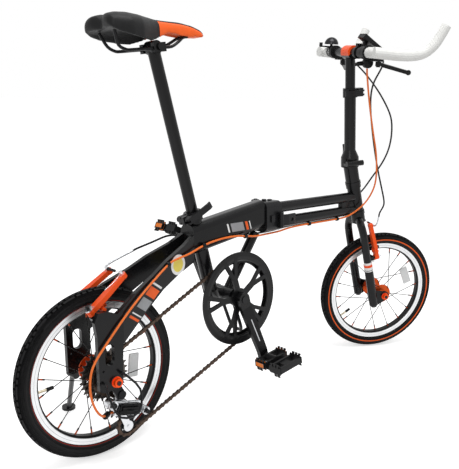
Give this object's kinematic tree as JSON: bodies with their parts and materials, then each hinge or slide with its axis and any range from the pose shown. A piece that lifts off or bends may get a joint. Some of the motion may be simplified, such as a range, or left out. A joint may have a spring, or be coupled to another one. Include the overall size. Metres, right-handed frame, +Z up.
{
  "type": "folding bicycle",
  "caption": "Black folding bicycle with small wheels, a mid-frame hinge, a folding telescopic handlepost, bullhorn bar, derailleur drive, linear-pull brakes and a side stand.",
  "frame": {"origin": "under the rear wheel, where its tyre meets the ground", "axes": "+X forward along the bicycle, +Y to its left, +Z up; the bicycle leans to its left onto the stand"},
  "size_m": [1.3789, 0.4834, 1.0162],
  "materials": {
    "frame_paint": "satin black",
    "hinge_paint": "black anodised",
    "lever_black": "black",
    "axle_orange": "orange nuts",
    "derailleur_black": "black",
    "chain_steel": "brown steel",
    "cable_black": "black housing",
    "cable_orange": "orange housing",
    "post_black": "gloss black",
    "rail_steel": "steel",
    "saddle_cover": "black with orange panels",
    "drive_black": "black",
    "pedal_plastic": "black",
    "tyre": "black",
    "rim_alloy": "machined",
    "spoke_black": "black",
    "hub_orange": "orange anodised",
    "freewheel_steel": "dark",
    "brake_orange": "orange",
    "cap_orange": "orange anodised",
    "bar_tape": "pale grey tape",
    "fitting_plastic": "black",
    "cage_alloy": "silver",
    "pulley_plastic": "black"
  },
  "bodies": {
    "rear_frame": {"seat_tube": "frame_paint", "main_tube": "frame_paint", "strut": "frame_paint", "bb_shell": "frame_paint", "blade_right": "frame_paint", "blade_left": "frame_paint", "hinge_rear": "hinge_paint", "seat_clamp": "hinge_paint", "rear_axle": "axle_orange", "derailleur_mount": "derailleur_black", "chain": "chain_steel", "rear_brake_cable": "cable_black", "shift_cable": "cable_orange"},
    "seat": {"seatpost": "post_black", "saddle_rails": "rail_steel", "saddle": "saddle_cover"},
    "seat_lever": {"seat_lever": "lever_black"},
    "kickstand": {"kickstand": "lever_black"},
    "crank": {"chainring": "drive_black", "crank_right": "drive_black", "crank_left": "drive_black"},
    "pedal_right": {"pedal_right_inner": "pedal_plastic"},
    "pedal_right_flap": {"pedal_right_outer": "pedal_plastic"},
    "pedal_left": {"pedal_left_inner": "pedal_plastic"},
    "pedal_left_flap": {"pedal_left_outer": "pedal_plastic"},
    "rear_wheel": {"rear_tyre": "tyre", "rear_rim": "rim_alloy", "rear_spokes": "spoke_black", "rear_hub": "hub_orange"},
    "freewheel": {"freewheel": "freewheel_steel"},
    "front_frame": {"upper_tube": "frame_paint", "lower_tube": "frame_paint", "head_tube": "frame_paint", "hinge_front": "hinge_paint"},
    "hinge_latch": {"hinge_latch": "lever_black"},
    "fork": {"fork": "frame_paint", "front_axle": "axle_orange", "post_base": "hinge_paint", "front_brake_cable": "cable_black"},
    "front_wheel": {"front_tyre": "tyre", "front_rim": "rim_alloy", "front_spokes": "spoke_black", "front_hub": "hub_orange"},
    "front_arm_right": {"front_brake_right": "brake_orange"},
    "front_arm_left": {"front_brake_left": "brake_orange"},
    "rear_arm_right": {"rear_brake_right": "brake_orange"},
    "rear_arm_left": {"rear_brake_left": "brake_orange"},
    "post": {"handlepost": "hinge_paint"},
    "post_latch": {"post_latch": "lever_black"},
    "post_lever": {"post_lever": "lever_black"},
    "bar": {"upper_post": "hinge_paint", "bar_cap": "cap_orange", "handlebar": "bar_tape", "bar_fittings": "fitting_plastic"},
    "lever_right": {"brake_lever_right": "lever_black"},
    "lever_left": {"brake_lever_left": "lever_black"},
    "shift_lever": {"shift_lever": "fitting_plastic"},
    "cage": {"derailleur_cage": "cage_alloy"},
    "guide_pulley": {"guide_pulley": "pulley_plastic"},
    "tension_pulley": {"tension_pulley": "pulley_plastic"}
  },
  "joints": [
    {"name": "seat_height", "type": "slide", "parent": "rear_frame", "child": "seat", "axis": [-0.2538, 0.0675, 0.9649], "range_m": [-0.24, 0.05]},
    {"name": "seat_quick_release", "type": "hinge", "parent": "rear_frame", "child": "seat_lever", "pos_m": [0.24943, 0.01626, 0.50486], "axis": [0.5402, -0.0587, -0.8395], "range_deg": [0, 150]},
    {"name": "stand_fold", "type": "hinge", "parent": "rear_frame", "child": "kickstand", "pos_m": [-0.01914, 0.09958, 0.16535], "axis": [-0.2854, 0.9465, 0.1508], "range_deg": [0, 124]},
    {"name": "crank_spin", "type": "hinge", "parent": "rear_frame", "child": "crank", "pos_m": [0.377, 0.02072, 0.29628], "axis": [0, 0.9976, -0.0698], "continuous": true, "deforming": ["chain"]},
    {"name": "pedal_right_spin", "type": "hinge", "parent": "crank", "child": "pedal_right", "pos_m": [0.42298, -0.10968, 0.15177], "axis": [0, 0.9976, -0.0698], "continuous": true},
    {"name": "pedal_right_fold", "type": "hinge", "parent": "pedal_right", "child": "pedal_right_flap", "pos_m": [0.42423, -0.13524, 0.14462], "axis": [0.9903, 0.0097, 0.1388], "range_deg": [0, 90]},
    {"name": "pedal_left_spin", "type": "hinge", "parent": "crank", "child": "pedal_left", "pos_m": [0.33102, 0.15112, 0.44078], "axis": [0, 0.9976, -0.0698], "continuous": true},
    {"name": "pedal_left_fold", "type": "hinge", "parent": "pedal_left", "child": "pedal_left_flap", "pos_m": [0.32722, 0.17549, 0.4309], "axis": [-0.9063, 0.0295, 0.4216], "range_deg": [0, 90]},
    {"name": "rear_wheel_spin", "type": "hinge", "parent": "rear_frame", "child": "rear_wheel", "pos_m": [0, 0.01343, 0.19203], "axis": [0, 0.9976, -0.0698], "continuous": true},
    {"name": "freewheel_spin", "type": "hinge", "parent": "rear_frame", "child": "freewheel", "pos_m": [0, -0.03246, 0.19524], "axis": [0, 0.9976, -0.0698], "continuous": true},
    {"name": "frame_fold", "type": "hinge", "parent": "rear_frame", "child": "front_frame", "pos_m": [0.52515, 0.0758, 0.48189], "axis": [0, 0.0698, 0.9976], "range_deg": [0, 138], "deforming": ["rear_brake_cable", "shift_cable"]},
    {"name": "frame_latch", "type": "hinge", "parent": "front_frame", "child": "hinge_latch", "pos_m": [0.542, -0.0067, 0.47763], "axis": [0, -0.0698, -0.9976], "range_deg": [0, 120]},
    {"name": "steering", "type": "hinge", "parent": "front_frame", "child": "fork", "pos_m": [0.90729, 0.03466, 0.49565], "axis": [-0.2546, 0.0675, 0.9647], "range_deg": [-33.3, 86.7], "deforming": ["rear_brake_cable", "shift_cable"]},
    {"name": "front_wheel_spin", "type": "hinge", "parent": "fork", "child": "front_wheel", "pos_m": [1.01135, 0.00186, 0.19214], "axis": [0.4345, 0.8992, 0.0518], "continuous": true},
    {"name": "front_arm_right_pivot", "type": "hinge", "parent": "fork", "child": "front_arm_right", "pos_m": [0.9582, -0.0253, 0.31788], "axis": [-0.8639, 0.4324, -0.2582], "range_deg": [0, 4.3]},
    {"name": "front_arm_left_pivot", "type": "hinge", "parent": "fork", "child": "front_arm_left", "pos_m": [0.99383, 0.04843, 0.32213], "axis": [0.8639, -0.4324, 0.2582], "range_deg": [0, 4.3]},
    {"name": "rear_arm_right_pivot", "type": "hinge", "parent": "rear_frame", "child": "rear_arm_right", "pos_m": [-0.03276, -0.01677, 0.34793], "axis": [-0.5635, 0.0576, 0.8241], "range_deg": [0, 4.3]},
    {"name": "rear_arm_left_pivot", "type": "hinge", "parent": "rear_frame", "child": "rear_arm_left", "pos_m": [-0.03276, 0.06503, 0.34221], "axis": [0.5635, -0.0576, -0.8241], "range_deg": [0, 4.3]},
    {"name": "post_fold", "type": "hinge", "parent": "fork", "child": "post", "pos_m": [0.86266, 0.01301, 0.60874], "axis": [0.8933, -0.4376, 0.1024], "range_deg": [0, 135], "deforming": ["rear_brake_cable", "shift_cable", "front_brake_cable"]},
    {"name": "post_fold_latch", "type": "hinge", "parent": "fork", "child": "post_latch", "pos_m": [0.89269, 0.07327, 0.60426], "axis": [-0.8933, 0.4376, -0.1024], "range_deg": [0, 120]},
    {"name": "post_quick_release", "type": "hinge", "parent": "post", "child": "post_lever", "pos_m": [0.87023, 0.0131, 0.81397], "axis": [-0.1148, -0.0018, 0.9934], "range_deg": [0, 150], "deforming": ["shift_cable"]},
    {"name": "bar_height", "type": "slide", "parent": "post", "child": "bar", "axis": [-0.1148, -0.0018, 0.9934], "range_m": [-0.075, 0.04], "deforming": ["rear_brake_cable", "shift_cable", "front_brake_cable"]},
    {"name": "lever_right_pull", "type": "hinge", "parent": "bar", "child": "lever_right", "pos_m": [0.82161, -0.07125, 0.89073], "axis": [0.0263, 0.0448, -0.9986], "range_deg": [0, 25], "stiffness_Nm_per_rad": 0.5, "deforming": ["front_brake_cable"]},
    {"name": "lever_left_pull", "type": "hinge", "parent": "bar", "child": "lever_left", "pos_m": [0.91894, 0.13016, 0.90233], "axis": [-0.0263, -0.0448, 0.9986], "range_deg": [0, 25], "stiffness_Nm_per_rad": 0.5, "deforming": ["rear_brake_cable"]},
    {"name": "shift_lever_turn", "type": "hinge", "parent": "bar", "child": "shift_lever", "pos_m": [0.81792, -0.03292, 0.89336], "axis": [-0.4345, -0.8992, -0.0518], "range_deg": [0, 40]},
    {"name": "cage_swing", "type": "hinge", "parent": "rear_frame", "child": "cage", "pos_m": [0.016, -0.03759, 0.12192], "axis": [0, 0.9976, -0.0698], "range_deg": [-20, 25], "stiffness_Nm_per_rad": 0.3, "deforming": ["chain"]},
    {"name": "guide_pulley_spin", "type": "hinge", "parent": "rear_frame", "child": "guide_pulley", "pos_m": [0.016, -0.03759, 0.12192], "axis": [0, 0.9976, -0.0698], "continuous": true},
    {"name": "tension_pulley_spin", "type": "hinge", "parent": "cage", "child": "tension_pulley", "pos_m": [0.04001, -0.04112, 0.07145], "axis": [0, 0.9976, -0.0698], "continuous": true}
  ],
  "couplings": [
    {"joint": "freewheel_spin", "follows": "crank_spin", "ratio": 2.8889},
    {"joint": "guide_pulley_spin", "follows": "crank_spin", "ratio": -4.7273},
    {"joint": "tension_pulley_spin", "follows": "crank_spin", "ratio": 4.7273},
    {"joint": "front_arm_right_pivot", "follows": "lever_right_pull", "ratio": 0.168},
    {"joint": "front_arm_left_pivot", "follows": "lever_right_pull", "ratio": 0.168},
    {"joint": "rear_arm_right_pivot", "follows": "lever_left_pull", "ratio": 0.168},
    {"joint": "rear_arm_left_pivot", "follows": "lever_left_pull", "ratio": 0.168}
  ]
}
